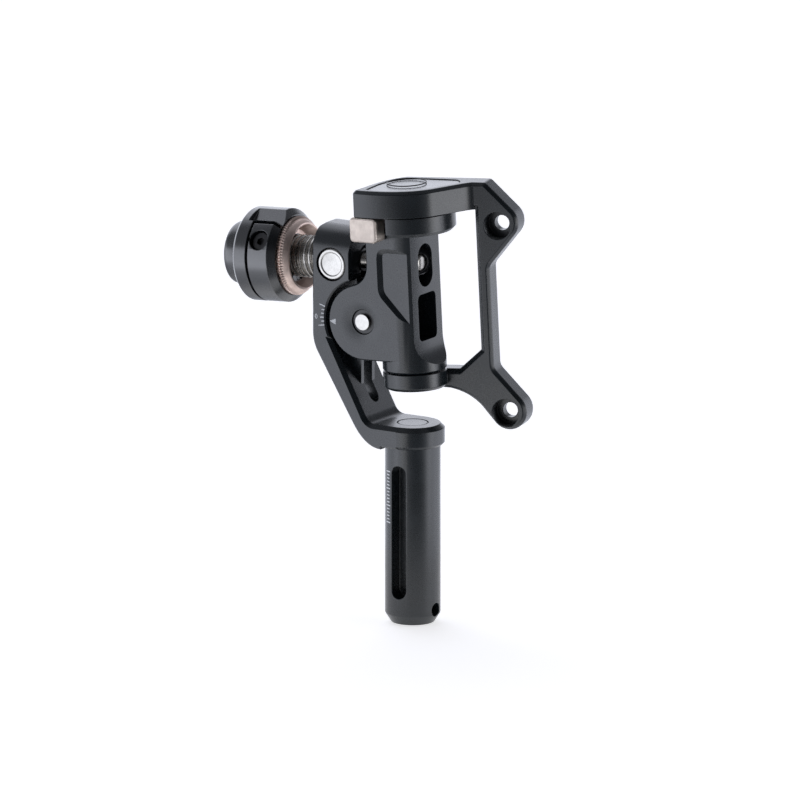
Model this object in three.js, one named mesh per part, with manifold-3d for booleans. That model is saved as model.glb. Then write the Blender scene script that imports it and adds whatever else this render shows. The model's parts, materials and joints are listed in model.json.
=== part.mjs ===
// Support-arm joint of a gimbal stabilizer: an arm post, a curved yoke, a tilting swing block set by a
// screw adjuster, and a C-shaped bracket that pans on the block and bolts to the gimbal.
// Millimetres, +Z up. Origin: centre of the arm post's bottom face. +Y is the bracket's back.
import * as THREE from "three";
import { mergeVertices } from "three/addons/utils/BufferGeometryUtils.js";
import Module from "manifold-3d";

const wasm = await Module();
wasm.setup();

// ---------- driving dimensions ----------
const TILT_AT_REST = -3; // degrees about +Y, the block leans towards the adjuster
const PAN_AT_REST = 14; // degrees about the pan axis
const CLEARANCE = 0.2; // running gap round a shaft

const HALF_WIDTH = 9.25; // yoke and block, along Y
const POST = { radius: 8, top: 52.3, chamfer: 1.8, chamferHeight: 2.85, boltEnd: 43 };
const GROOVE = { width: 4.8, low: 7.9, high: 47, floor: 3.4 };
const CROSS_HOLE = { radius: 2, height: 4.2, depth: 6 };
const BOSS = { radius: 9.25, top: 58.65, foot: 51.6, seat: 54.6, capRadius: 4.6 };
const PIVOT = { x: -11.7, z: 88.4 };
const LOBE = { radius: 11.1, pocket: 12.3, eye: 9.4, tongue: 3.6, slot: 4.4 };
const TONGUE_FACE = { x: -15.2, low: 66 };
const LUG = { left: -28.4, right: -16, top: 114.9, corner: 7.5, webTop: 101 };
const TRUNNION = { x: -22, z: 104.3, radius: 4.75, length: 18.1 };
const NUT = { x: 0, z: 105.17, radius: 4.3, length: 11.6 };
const SCREW = { radius: 2.5, tip: 25.2, threadRadius: 6.15, threadStart: -6.8, threadEnd: -17 };
const HOUSING = { radius: HALF_WIDTH, low: 73.9 };
const FLANGE = { radius: 13.8, low: 114.9, top: 120.4, chamfer: 1 };
const FLAT = { x: 5.1, low: 83.7, scoop: 9 };
const BLOCK_LEFT = -9.3;
const DISH = { rim: 7.2, floor: 3.9, depth: 0.9, bore: 3.75, boreDepth: 1.9 };
const PANEL = { left: -5.6, top: 110.6, corner: 97, right: 13, round: 3, depth: 1, slope: 1.4 };
const YOKE_EDGE = { outer: 0.45, inner: 1.2 }; // chamfers
const BLOCK_EDGE = 0.4; // chamfer, and how far the flat sides run past the housing's axis
const UPPER_BEARING = { radius: 8, inner: 4, low: 115.6, high: 119.6 };
const LOWER_BEARING = { radius: 6, inner: 3, low: 74.1, high: 77.7 };
const BRACKET = {
  back: 9.6, front: 1.8, chamfer: 0.9,
  top: 128.5, padLow: 120.6, lugTop: 73.6, lugLow: 68.6,
};
const STRUT = { inner: 19.3, outer: 23.1, lowCorner: 79.3, lugEnd: 12.6, innerChamfer: 1.4 };
const LUG_EYE = { x: 27, upper: 116.8, lower: 61.4, radius: 5.4 };
const HOLE = { x: 26.2, upper: 116, lower: 61, radius: 2.2, boreRadius: 4.05, boreDepth: 4.6 };
const KNOB = {
  radius: 13.55, face: -17.4, end: -31.5, slit: -26.2,
  chamfer: 1.2, faceChamfer: 1.9, gapAngle: 54,
};
const CLAMP_SCREW = { x: -22.6, angle: 29, radius: 2.6, seatRadius: 3, head: -12.2, seat: -9.6 };
const PAN_BOLT = {
  upperShank: 3.9, upperHead: 6.3, upperSeat: 123.2,
  lowerShank: 2.9, lowerHead: 5, lowerSeat: 71.2,
};
const M5_SHANK = 2.5;
const M3_SHANK = 1.5;
const SPINDLE = { radius: 3.5, head: 3.6, screwHead: 2.4, screwEnd: 8.9 };
const TONGUE_BUSH = { radius: 4.6, inner: 3.7, flange: 7, thickness: 0.38 };
const RING = {
  radius: 11.4, back: -18.8, rim: -16.3, face: -14.1,
  bowl: 9.2, floor: -17.4, floorRadius: 7.6,
};
const END_DISC = { radius: 9.1, end: -37.2 };
const LEVER = { left: -10.8, right: -1.8, front: -15, back: -9.7, low: 113.2, top: 120.5, corner: 1.3 };
const LOCK = { radius: 9.6, inner: 8.6, low: 116.7, top: 118.6 };
const NOTCH = { radius: 9.4, from: -141, to: -86.5 }; // cut from the flange for the lever

// ---------- solids from three.js geometry ----------
const radians = THREE.MathUtils.degToRad;

// A closed geometry as a manifold solid.
function solid(geometry) {
  const bare = geometry.index ? geometry.toNonIndexed() : geometry.clone();
  bare.deleteAttribute("normal");
  bare.deleteAttribute("uv");
  const merged = mergeVertices(bare, 1e-4);
  return new wasm.Manifold(
    new wasm.Mesh({
      numProp: 3,
      vertProperties: merged.attributes.position.array,
      triVerts: new Uint32Array(merged.index.array),
    }),
  );
}

// A manifold solid back as a flat-shaded geometry.
function geometryOf(body) {
  const mesh = body.getMesh();
  const geometry = new THREE.BufferGeometry();
  geometry.setAttribute("position", new THREE.BufferAttribute(Float32Array.from(mesh.vertProperties), 3));
  geometry.setIndex(new THREE.BufferAttribute(Uint32Array.from(mesh.triVerts), 1));
  geometry.computeVertexNormals();
  return geometry;
}

// Round bar from low to high along Z, centred on x, y.
function barZ(radius, low, high, segments = 32, x = 0, y = 0) {
  const bar = new THREE.CylinderGeometry(radius, radius, high - low, segments);
  bar.rotateX(Math.PI / 2).translate(x, y, (low + high) / 2);
  return solid(bar);
}

// Round bar along Y, centred on x, z.
function barY(radius, low, high, x, z, segments = 32) {
  const bar = new THREE.CylinderGeometry(radius, radius, high - low, segments);
  bar.translate(x, (low + high) / 2, z);
  return solid(bar);
}

// Round bar along X, centred on y, z.
function barX(radius, low, high, y, z, segments = 24) {
  const bar = new THREE.CylinderGeometry(radius, radius, high - low, segments);
  bar.rotateZ(Math.PI / 2).translate((low + high) / 2, y, z);
  return solid(bar);
}

// Box between two corners.
function box(x0, x1, y0, y1, z0, z1) {
  const block = new THREE.BoxGeometry(x1 - x0, y1 - y0, z1 - z0);
  block.translate((x0 + x1) / 2, (y0 + y1) / 2, (z0 + z1) / 2);
  return solid(block);
}

// Turned piece about Z. The profile lists [radius, z] upwards and starts and ends on the axis or closes.
function turned(profile, segments = 48) {
  const points = profile.map(([radius, z]) => new THREE.Vector2(radius, z));
  return solid(new THREE.LatheGeometry(points, segments).rotateX(Math.PI / 2));
}

// Turned ring about Z with a rectangular section.
function ringZ(outer, inner, low, high, segments = 48) {
  return turned([[inner, low], [outer, low], [outer, high], [inner, high], [inner, low]], segments);
}

// Extrusion of a shape, with an even chamfer on both end faces.
function extruded(shape, depth, chamfer, curveSegments) {
  return new THREE.ExtrudeGeometry(shape, {
    depth: depth - 2 * chamfer,
    bevelEnabled: chamfer > 0,
    bevelThickness: chamfer,
    bevelSize: chamfer,
    bevelOffset: -chamfer,
    bevelSegments: 1,
    curveSegments,
  }).translate(0, 0, chamfer);
}

// Plate: the shape's plane is XY, standing from low to high along Z.
function plateZ(shape, low, high, chamfer = 0, curveSegments = 10) {
  return solid(extruded(shape, high - low, chamfer, curveSegments).translate(0, 0, low));
}

// Plate: the shape's plane is XZ, running from low to high along Y.
function plateY(shape, low, high, chamfer = 0, curveSegments = 10) {
  const plate = extruded(shape, high - low, chamfer, curveSegments);
  return solid(plate.rotateX(Math.PI / 2).translate(0, high, 0));
}

// Plate: the shape's plane is YZ, running from low to high along X.
function plateX(shape, low, high, curveSegments = 6) {
  const plate = extruded(shape, high - low, 0, curveSegments);
  return solid(plate.rotateZ(Math.PI / 2).rotateY(Math.PI / 2).translate(low, 0, 0));
}

// Rectangle with rounded corners.
function roundedRect(x0, x1, y0, y1, corner) {
  const shape = new THREE.Shape();
  shape.moveTo(x0 + corner, y0);
  shape.lineTo(x1 - corner, y0);
  shape.absarc(x1 - corner, y0 + corner, corner, -Math.PI / 2, 0, false);
  shape.lineTo(x1, y1 - corner);
  shape.absarc(x1 - corner, y1 - corner, corner, 0, Math.PI / 2, false);
  shape.lineTo(x0 + corner, y1);
  shape.absarc(x0 + corner, y1 - corner, corner, Math.PI / 2, Math.PI, false);
  shape.lineTo(x0, y0 + corner);
  shape.absarc(x0 + corner, y0 + corner, corner, Math.PI, 1.5 * Math.PI, false);
  return shape;
}

// ---------- materials ----------
function metal(color, roughness) {
  return new THREE.MeshStandardMaterial({ color, roughness, metalness: 1 });
}

const black = metal(0x26282d, 0.42);
const blackDeep = metal(0x1b1c20, 0.5);
const steel = metal(0xc9c9c6, 0.22);
const bronze = metal(0x96807a, 0.38);
const champagne = metal(0xb5a798, 0.3);
const brass = metal(0xb08d57, 0.35);

function node(name, body, material) {
  const mesh = new THREE.Mesh(geometryOf(body), material);
  mesh.name = name;
  return mesh;
}

// ---------- arm post ----------
function armPost() {
  const { radius, top, chamfer, chamferHeight } = POST;
  const profile = [[0, 0], [radius - chamfer, 0], [radius, chamferHeight], [radius, top], [0, top]];
  const middle = (GROOVE.low + GROOVE.high) / 2;
  const half = (GROOVE.high - GROOVE.low) / 2;
  const grooveShape = roundedRect(
    -GROOVE.width / 2, GROOVE.width / 2, middle - half, middle + half, GROOVE.width / 2 - 0.01);
  const groove = plateY(grooveShape, -radius - 1, -GROOVE.floor, 0, 6);
  const crossHole = barX(CROSS_HOLE.radius, radius - CROSS_HOLE.depth, radius + 1, 0, CROSS_HOLE.height, 20);
  const boltHole = barZ(M5_SHANK + CLEARANCE, POST.boltEnd - 1, top + 1, 24);
  return turned(profile, 56).subtract(groove).subtract(crossHole).subtract(boltHole);
}

function postBolt() {
  const head = barZ(4, BOSS.seat + 0.01, BOSS.seat + 2.4, 32);
  const socket = barZ(1.6, BOSS.seat + 1, BOSS.seat + 3, 6);
  return barZ(M5_SHANK, POST.boltEnd, BOSS.seat + 0.5, 24).add(head).subtract(socket);
}

function bossCap() {
  const radius = BOSS.capRadius - 0.1;
  const top = BOSS.top - 0.05;
  return turned([
    [0, top - 1.2], [radius, top - 1.2], [radius, top - 0.3], [radius - 0.3, top], [0, top]], 40);
}

// ---------- yoke ----------
function yokeOutline() {
  const shape = new THREE.Shape();
  shape.moveTo(YOKE_EDGE.outer, POST.top);
  shape.lineTo(-5, POST.top);
  shape.lineTo(-5.4, BOSS.foot);
  shape.quadraticCurveTo(-10.9, BOSS.foot, -15.2, 59);
  shape.lineTo(-26.7, 77.9);
  shape.quadraticCurveTo(LUG.left, 80.6, LUG.left, 84);
  shape.lineTo(LUG.left, LUG.top - 0.8);
  shape.lineTo(LUG.left + 0.8, LUG.top);
  shape.lineTo(LUG.right - 0.8, LUG.top);
  shape.lineTo(LUG.right, LUG.top - 0.8);
  shape.lineTo(LUG.right, 99.9);
  shape.absarc(PIVOT.x, PIVOT.z, LOBE.pocket, radians(110.5), radians(207), false);
  shape.lineTo(-10.9, 60.7);
  shape.quadraticCurveTo(-9.7, BOSS.top, -7.5, BOSS.top);
  shape.lineTo(YOKE_EDGE.outer, BOSS.top);
  return shape;
}

// The foot's inner edge as a much larger plate, whose wide chamfer cuts the yoke's own.
function yokeInnerEdge() {
  const shape = new THREE.Shape();
  shape.moveTo(3, 40);
  shape.lineTo(3, BOSS.top);
  shape.lineTo(-7.5, BOSS.top);
  shape.quadraticCurveTo(-9.7, BOSS.top, -10.9, 60.7);
  shape.lineTo(-22.3, 82.13);
  shape.lineTo(-8, 88);
  shape.lineTo(-8, 130);
  shape.lineTo(-45, 130);
  shape.lineTo(-45, 40);
  return plateY(shape, -HALF_WIDTH, HALF_WIDTH, YOKE_EDGE.inner, 8);
}

// The tongue between the block's cheeks: an eye round the pivot, joined to the wall.
function yokeTongue() {
  const eye = barY(LOBE.eye, -LOBE.tongue, LOBE.tongue, PIVOT.x, PIVOT.z, 40);
  const web = box(LUG.left + 2, PIVOT.x - 5, -LOBE.tongue, LOBE.tongue, PIVOT.z - 7.4, LUG.webTop);
  const foot = box(-21, TONGUE_FACE.x, -LOBE.tongue, LOBE.tongue, TONGUE_FACE.low, PIVOT.z);
  return eye.add(web).add(foot);
}

// Rounds the lug's front and back top corners.
function lugRounding() {
  const { top, corner, left, right } = LUG;
  const arch = new THREE.Shape();
  arch.moveTo(-HALF_WIDTH - 1, top + 1);
  arch.lineTo(-HALF_WIDTH - 1, top - corner);
  arch.lineTo(-HALF_WIDTH, top - corner);
  arch.absarc(corner - HALF_WIDTH, top - corner, corner, Math.PI, Math.PI / 2, true);
  arch.lineTo(0, top);
  arch.absarc(HALF_WIDTH - corner, top - corner, corner, Math.PI / 2, 0, true);
  arch.lineTo(HALF_WIDTH + 1, top - corner);
  arch.lineTo(HALF_WIDTH + 1, top + 1);
  return plateX(arch, left - 1, right + 1, 8);
}

// The slot through the wall, which also splits the tongue's foot in two ears.
function slopeSlot() {
  return plateX(roundedRect(-2.2, 2.2, 63.2, 79, 2.19), LUG.left, TONGUE_FACE.x + 6);
}

function yoke() {
  const boss = turned([
    [0, POST.top], [BOSS.radius - 0.8, POST.top], [BOSS.radius, POST.top + 0.8],
    [BOSS.radius, BOSS.top - 1.3], [BOSS.radius - 1.3, BOSS.top], [0, BOSS.top]], 56);
  const seat = barZ(BOSS.capRadius, BOSS.seat, BOSS.top + 1, 40);
  const boltHole = barZ(M5_SHANK + CLEARANCE, POST.top - 1, BOSS.seat + 1, 24);
  const postRoom = barZ(POST.radius + 0.1, BOSS.foot - 1, POST.top, 56);
  const spindleHole = barY(4.7, -HALF_WIDTH, HALF_WIDTH, PIVOT.x, PIVOT.z, 32);
  const trunnionHole = barY(
    TRUNNION.radius + CLEARANCE, -HALF_WIDTH - 1, HALF_WIDTH + 1, TRUNNION.x, TRUNNION.z, 32);
  const passage = plateX(roundedRect(-3.6, 3.6, 99.4, 109.2, 3.5), LUG.left - 1, LUG.right + 1);
  const threadRecess = plateX(roundedRect(-6.9, 6.9, 97, 112.2, 3), LUG.left - 1, LUG.left + 1.9);
  return plateY(yokeOutline(), -HALF_WIDTH, HALF_WIDTH, YOKE_EDGE.outer, 8)
    .intersect(yokeInnerEdge())
    .add(boss)
    .add(yokeTongue())
    .subtract(seat)
    .subtract(boltHole)
    .subtract(postRoom)
    .subtract(spindleHole)
    .subtract(trunnionHole)
    .subtract(passage)
    .subtract(threadRecess)
    .subtract(lugRounding())
    .subtract(slopeSlot());
}

function tongueBush(side) {
  const { radius, inner, flange: flangeRadius, thickness } = TONGUE_BUSH;
  const low = side < 0 ? -LOBE.tongue - 0.4 : 0.1;
  const flangeLow = side < 0 ? -LOBE.tongue - 0.4 : LOBE.tongue + 0.01;
  const bush = ringZ(radius, inner, low, low + LOBE.tongue + 0.3, 24);
  const flange = ringZ(flangeRadius, inner, flangeLow, flangeLow + thickness, 24);
  return bush.add(flange).rotate([-90, 0, 0]).translate([PIVOT.x, 0, PIVOT.z]);
}

// ---------- swing block ----------
function blockSide() {
  const shape = new THREE.Shape();
  const lobeMeet = radians(104);
  shape.moveTo(BLOCK_EDGE, PIVOT.z - LOBE.radius);
  shape.lineTo(BLOCK_EDGE, FLANGE.low + 1);
  shape.lineTo(BLOCK_LEFT, FLANGE.low + 1);
  shape.lineTo(BLOCK_LEFT, 105.5);
  shape.quadraticCurveTo(
    BLOCK_LEFT - 0.1, 100.4,
    PIVOT.x + LOBE.radius * Math.cos(lobeMeet), PIVOT.z + LOBE.radius * Math.sin(lobeMeet));
  shape.absarc(PIVOT.x, PIVOT.z, LOBE.radius, lobeMeet, 1.5 * Math.PI, false);
  return shape;
}

// Everything the flat on the bracket's side takes away, with its scooped lower end.
function flatCut() {
  const shape = new THREE.Shape();
  const centre = FLAT.x + FLAT.scoop;
  shape.moveTo(FLAT.x, FLANGE.low);
  shape.lineTo(FLAT.x, FLAT.low);
  shape.absarc(centre, FLAT.low, FLAT.scoop, Math.PI, 1.4 * Math.PI, false);
  shape.lineTo(centre, FLANGE.low);
  return plateY(shape, -12, 12, 0, 10);
}

// The shallow panel sunk in each side face, with sloping walls.
function sidePanel(side) {
  const { left, top, corner, right, round, depth, slope } = PANEL;
  const shape = new THREE.Shape();
  shape.moveTo(left, corner + 0.7 * round);
  shape.quadraticCurveTo(left, corner, left + 0.5 * round, corner - 0.5 * round);
  shape.lineTo(right, corner - (right - left));
  shape.lineTo(right, top);
  shape.lineTo(left + round, top);
  shape.quadraticCurveTo(left, top, left, top - round);
  const sink = new THREE.ExtrudeGeometry(shape, {
    depth: 4,
    bevelThickness: depth,
    bevelSize: slope,
    bevelOffset: -slope,
    bevelSegments: 1,
    curveSegments: 4,
  });
  sink.rotateX(Math.PI / 2).translate(0, HALF_WIDTH + 4, 0);
  return side < 0 ? solid(sink).mirror([0, 1, 0]) : solid(sink);
}

// The dish round each end of the tilt spindle: a shallow cone, then a plain bore.
function spindleDish(side) {
  const { rim, floor, depth, bore, boreDepth } = DISH;
  const flare = (rim - floor) / depth;
  const dish = turned([
    [0, HALF_WIDTH - boreDepth], [bore, HALF_WIDTH - boreDepth], [bore, HALF_WIDTH - depth],
    [floor, HALF_WIDTH - depth], [rim + flare, HALF_WIDTH + 1], [0, HALF_WIDTH + 1]], 48)
    .rotate([-90, 0, 0])
    .translate([PIVOT.x, 0, PIVOT.z]);
  return side < 0 ? dish.mirror([0, 1, 0]) : dish;
}

// The sector of the flange that is cut away for the lever's travel.
function leverNotch() {
  const from = radians(NOTCH.from);
  const to = radians(NOTCH.to);
  const sweep = new THREE.Shape();
  sweep.absarc(0, 0, NOTCH.radius, from, to, false);
  sweep.absarc(0, 0, 20, to, from, true);
  return plateZ(sweep, FLANGE.low - 1, FLANGE.top + 1, 0, 8);
}

function swingBlock() {
  const housing = turned([
    [0, HOUSING.low], [HOUSING.radius - 0.5, HOUSING.low], [HOUSING.radius, HOUSING.low + 0.5],
    [HOUSING.radius, FLANGE.low], [FLANGE.radius - FLANGE.chamfer, FLANGE.low],
    [FLANGE.radius, FLANGE.low + FLANGE.chamfer], [FLANGE.radius, FLANGE.top], [0, FLANGE.top]], 56);
  const tongueRoom = barY(10.1, -LOBE.slot, LOBE.slot, PIVOT.x, PIVOT.z, 40)
    .add(box(-26, PIVOT.x, -LOBE.slot, LOBE.slot, PIVOT.z - 14, PIVOT.z + 14));
  const spindleHole = barY(SPINDLE.radius + CLEARANCE, -12, 12, PIVOT.x, PIVOT.z, 32);
  const nutBore = barY(NUT.radius + CLEARANCE, -6.2, 12, NUT.x, NUT.z, 32);
  const window = plateX(roundedRect(-4.75, 4.75, 82.9, 96.5, 1.6), -1.4, 12, 4);
  const tipHole = plateX(roundedRect(-3.75, 3.75, 98.4, 111, 3.74), 0, 12);
  const screwPassage = plateX(roundedRect(-3.5, 3.5, 100, 109.2, 3.4), -14, 1);
  const upperSeat = barZ(UPPER_BEARING.radius + 0.1, UPPER_BEARING.low - 0.3, FLANGE.top + 1, 40);
  const lockSeat = barZ(LOCK.radius + 0.3, LOCK.low - 0.3, FLANGE.top + 1, 48);
  const lowerSeat = barZ(LOWER_BEARING.radius + 0.1, HOUSING.low - 1, LOWER_BEARING.high + 0.3, 32);
  return plateY(blockSide(), -HALF_WIDTH, HALF_WIDTH, BLOCK_EDGE, 9)
    .add(housing)
    .subtract(flatCut())
    .subtract(sidePanel(-1))
    .subtract(sidePanel(1))
    .subtract(tongueRoom)
    .subtract(spindleHole)
    .subtract(spindleDish(-1))
    .subtract(spindleDish(1))
    .subtract(nutBore)
    .subtract(window)
    .subtract(tipHole)
    .subtract(screwPassage)
    .subtract(upperSeat)
    .subtract(lockSeat)
    .subtract(leverNotch())
    .subtract(lowerSeat);
}

// Spindle of the tilt hinge, held in the block's cheeks, with a head in the front dish.
function tiltSpindle() {
  const head = barY(SPINDLE.head, -7.9, -7.4, PIVOT.x, PIVOT.z, 32);
  const shaft = barY(SPINDLE.radius, -7.5, 7.3, PIVOT.x, PIVOT.z, 32);
  const tapped = barY(M3_SHANK + CLEARANCE, -10, 10, PIVOT.x, PIVOT.z, 20);
  return head.add(shaft).subtract(tapped);
}

function spindleScrew(side) {
  const head = barY(SPINDLE.screwHead, -SPINDLE.screwEnd, -7.95, PIVOT.x, PIVOT.z, 32);
  const shank = barY(M3_SHANK, -8, -3, PIVOT.x, PIVOT.z, 20);
  const screw = head.add(shank);
  return side < 0 ? screw : screw.mirror([0, 1, 0]);
}

function spindleCollar() {
  const collar = barY(SPINDLE.head, 7.4, 7.85, PIVOT.x, PIVOT.z, 32);
  return collar.subtract(barY(M3_SHANK + CLEARANCE, 7, 9, PIVOT.x, PIVOT.z, 20));
}

function nutBorePlug() {
  return barY(NUT.radius, 6.4, HALF_WIDTH - 1.1, NUT.x, NUT.z, 32);
}

// Bearing as outer race, inner race and a filled ball cage, each its own ring.
function race(bearing, part) {
  const width = bearing.radius - bearing.inner;
  const { low, high } = bearing;
  if (part === "outer") return ringZ(bearing.radius, bearing.radius - 0.28 * width, low, high, 24);
  if (part === "inner") return ringZ(bearing.inner + 0.28 * width, bearing.inner, low, high, 24);
  return ringZ(bearing.radius - 0.32 * width, bearing.inner + 0.32 * width, low + 0.4, high - 0.4, 24);
}

// ---------- pan lock ----------
function lockRing() {
  return ringZ(LOCK.radius, LOCK.inner, LOCK.low, LOCK.top, 40);
}

function lockLever() {
  const { left, right, front, back, low, top, corner } = LEVER;
  const grip = plateY(roundedRect(left, right, low, top, corner), front, back, 0.4, 5);
  return grip.subtract(barZ(LOCK.radius + CLEARANCE, LOCK.low - CLEARANCE, LOCK.top + CLEARANCE, 48));
}

// ---------- bracket ----------
function plateOutline() {
  const { top, padLow, lugTop, lugLow } = BRACKET;
  const tangent = radians(42);
  const { x, upper, lower, radius } = LUG_EYE;
  const reach = radius * Math.cos(tangent);
  const rise = radius * Math.sin(tangent);
  const shape = new THREE.Shape();
  shape.moveTo(0, top);
  shape.lineTo(0, padLow);
  shape.lineTo(STRUT.inner, padLow);
  shape.lineTo(STRUT.inner, STRUT.lowCorner);
  shape.lineTo(STRUT.lugEnd, lugTop);
  shape.lineTo(0, lugTop);
  shape.lineTo(0, lugLow);
  shape.lineTo(9.7, 67.9);
  shape.quadraticCurveTo(15.2, 66.8, 18.9, 62.9);
  shape.lineTo(x - reach, lower - rise);
  shape.absarc(x, lower, radius, Math.PI + tangent, tangent, false);
  shape.lineTo(STRUT.outer + 0.8, 73);
  shape.quadraticCurveTo(STRUT.outer, 73.9, STRUT.outer, 75.3);
  shape.lineTo(STRUT.outer, 103);
  shape.quadraticCurveTo(STRUT.outer, 104, STRUT.outer + 0.8, 104.9);
  shape.lineTo(x + reach, upper - rise);
  shape.absarc(x, upper, radius, -tangent, tangent, false);
  shape.lineTo(23.4, 128);
  shape.quadraticCurveTo(22.9, top, 22.2, top);
  return shape;
}

// The bracket's open middle as a much larger C, whose wide chamfer cuts the plate's own.
function openingEdge() {
  const { top, padLow, lugTop, lugLow, front, back } = BRACKET;
  const shape = new THREE.Shape();
  shape.moveTo(-3, top + 10);
  shape.lineTo(-3, padLow);
  shape.lineTo(STRUT.inner, padLow);
  shape.lineTo(STRUT.inner, STRUT.lowCorner);
  shape.lineTo(STRUT.lugEnd, lugTop);
  shape.lineTo(-3, lugTop);
  shape.lineTo(-3, lugLow - 20);
  shape.lineTo(45, lugLow - 20);
  shape.lineTo(45, top + 10);
  return plateY(shape, front, back, STRUT.innerChamfer);
}

function padOutline() {
  const shape = new THREE.Shape();
  shape.moveTo(-12.6, -10.9);
  shape.quadraticCurveTo(-12.7, -12.4, -11.3, -12.7);
  shape.bezierCurveTo(-5, -14.4, 4, -15.6, 10.6, -8.9);
  shape.lineTo(17.4, 0);
  shape.quadraticCurveTo(18.9, 2, 21, 2.4);
  shape.lineTo(21, BRACKET.back);
  shape.lineTo(-3, BRACKET.back);
  shape.bezierCurveTo(-5.6, 7.6, -8.6, 3, -10, -2);
  return shape;
}

// The inlay follows the pad's front and sides, a little inside them.
function inlayOutline(inset) {
  const shape = new THREE.Shape();
  shape.moveTo(-8.9 + inset, -10.4 + inset);
  shape.bezierCurveTo(-5 + inset, -12.4 + inset, 2.6, -13.6 + inset, 8.4 - inset, -7.4 + inset);
  shape.lineTo(14.6 - inset, 0.4);
  shape.quadraticCurveTo(16.4 - inset, 3.6, 13.2 - inset, 6 - inset);
  shape.lineTo(1, 7 - inset);
  shape.bezierCurveTo(-3, 6.6 - inset, -6.4 + inset, 2, -7.7 + inset, -2.6);
  return shape;
}

function bracket() {
  const { back, front, chamfer, top, padLow, lugTop, lugLow } = BRACKET;
  const lug = turned([
    [0, lugLow], [8.3, lugLow], [HALF_WIDTH, lugLow + 0.9], [HALF_WIDTH, lugTop], [0, lugTop]], 56);
  const pad = plateZ(padOutline(), padLow - 2 * chamfer, top, chamfer, 12)
    .subtract(box(-40, 40, -40, 40, padLow - 3 * chamfer, padLow));
  let body = plateY(plateOutline(), front, back, chamfer, 8)
    .intersect(openingEdge())
    .add(pad)
    .add(lug);
  for (const z of [HOLE.upper, HOLE.lower]) {
    body = body
      .subtract(barY(HOLE.radius, front - 1, back + 1, HOLE.x, z, 24))
      .subtract(barY(HOLE.boreRadius, front - 1, front + HOLE.boreDepth, HOLE.x, z, 32));
  }
  const upperBore = barZ(4 + CLEARANCE, padLow - 1, top, 32);
  const upperHeadSeat = barZ(PAN_BOLT.upperHead + 0.3, PAN_BOLT.upperSeat, top, 40);
  const inlaySeat = plateZ(inlayOutline(0), top - 1, top + 1, 0, 12);
  const lowerBore = barZ(3 + CLEARANCE, lugLow - 1, lugTop + 1, 28);
  const lowerHeadSeat = barZ(PAN_BOLT.lowerHead + CLEARANCE, lugLow - 1, PAN_BOLT.lowerSeat, 32);
  return body
    .subtract(upperBore)
    .subtract(upperHeadSeat)
    .subtract(inlaySeat)
    .subtract(lowerBore)
    .subtract(lowerHeadSeat);
}

function upperPanBolt() {
  const { upperShank, upperHead, upperSeat } = PAN_BOLT;
  const end = UPPER_BEARING.low;
  const low = upperSeat + 0.1;
  const top = upperSeat + 3.7;
  const socket = barZ(2.3, low + 1.3, top + 1, 6);
  return turned([
    [0, end], [upperShank, end], [upperShank, low], [upperHead, low], [upperHead, top], [0, top]], 24)
    .subtract(socket);
}

function upperSpacer() {
  return ringZ(5.2, 4.1, UPPER_BEARING.high + 0.02, BRACKET.padLow - 0.02, 24);
}

function lowerPanBolt() {
  const { lowerShank, lowerHead, lowerSeat } = PAN_BOLT;
  const end = LOWER_BEARING.high;
  const low = lowerSeat - 2.2;
  const top = lowerSeat - 0.1;
  const socket = barZ(2, low - 1, low + 1, 6);
  return turned([
    [0, low], [lowerHead, low], [lowerHead, top], [lowerShank, top], [lowerShank, end], [0, end]], 24)
    .subtract(socket);
}

function lowerSpacer() {
  return ringZ(4.4, 3.1, BRACKET.lugTop + 0.02, LOWER_BEARING.low - 0.02, 24);
}

// ---------- adjuster, built along +X from the trunnion centre towards the nut ----------
function alongX(body) {
  return body.rotate([0, 90, 0]);
}

function adjusterScrew() {
  const { radius, tip, threadRadius, threadStart, threadEnd } = SCREW;
  return alongX(turned([
    [0, -30], [4, -30], [4, threadEnd], [threadRadius, threadEnd], [threadRadius, threadStart],
    [radius, threadStart], [radius, tip - 0.4], [radius - 0.4, tip], [0, tip]], 36));
}

function thrustCollar() {
  return alongX(ringZ(3.4, 2.65, 5.05, 5.9, 24));
}

function serratedRing() {
  const { radius, back, rim, face, bowl, floor, floorRadius } = RING;
  const inner = SCREW.threadRadius + 0.15;
  return alongX(turned([
    [inner, back], [radius, back], [radius, rim], [radius - 0.6, rim + 0.5], [bowl + 0.5, face - 0.2],
    [bowl, face], [floorRadius, floor], [inner, floor], [inner, back]], 64));
}

function knobBody() {
  const { radius, face, end, slit, chamfer, faceChamfer, gapAngle } = KNOB;
  const outside = alongX(turned([
    [0, end], [radius - chamfer, end], [radius, end + chamfer], [radius, face - faceChamfer],
    [radius - faceChamfer, face], [0, face]], 64));
  const ringSeat = alongX(barZ(RING.radius + 0.2, RING.back - 0.1, face + 1, 64));
  const bore = alongX(barZ(4.15, end - 1, face + 1, 36));
  const belowGap = box(slit - 1, slit + 1, -radius - 2, radius + 2, -radius - 2, 0.5)
    .rotate([-gapAngle, 0, 0]);
  const groove = alongX(ringZ(radius + 1, radius - 2.2, slit - 0.35, slit + 0.35, 64))
    .intersect(belowGap);
  const gap = box(slit, face + 1, -radius - 1, -4, -0.5, 0.5).rotate([-gapAngle, 0, 0]);
  const notch = box(slit - 2, face + 1, -radius - 1, -11.6, 0.6, 9).rotate([-gapAngle, 0, 0]);
  const screwSeat = barY(CLAMP_SCREW.seatRadius, -radius - 1, CLAMP_SCREW.seat, CLAMP_SCREW.x, 0, 24)
    .rotate([-CLAMP_SCREW.angle, 0, 0]);
  return outside
    .subtract(ringSeat)
    .subtract(bore)
    .subtract(groove)
    .subtract(gap)
    .subtract(notch)
    .subtract(screwSeat);
}

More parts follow.
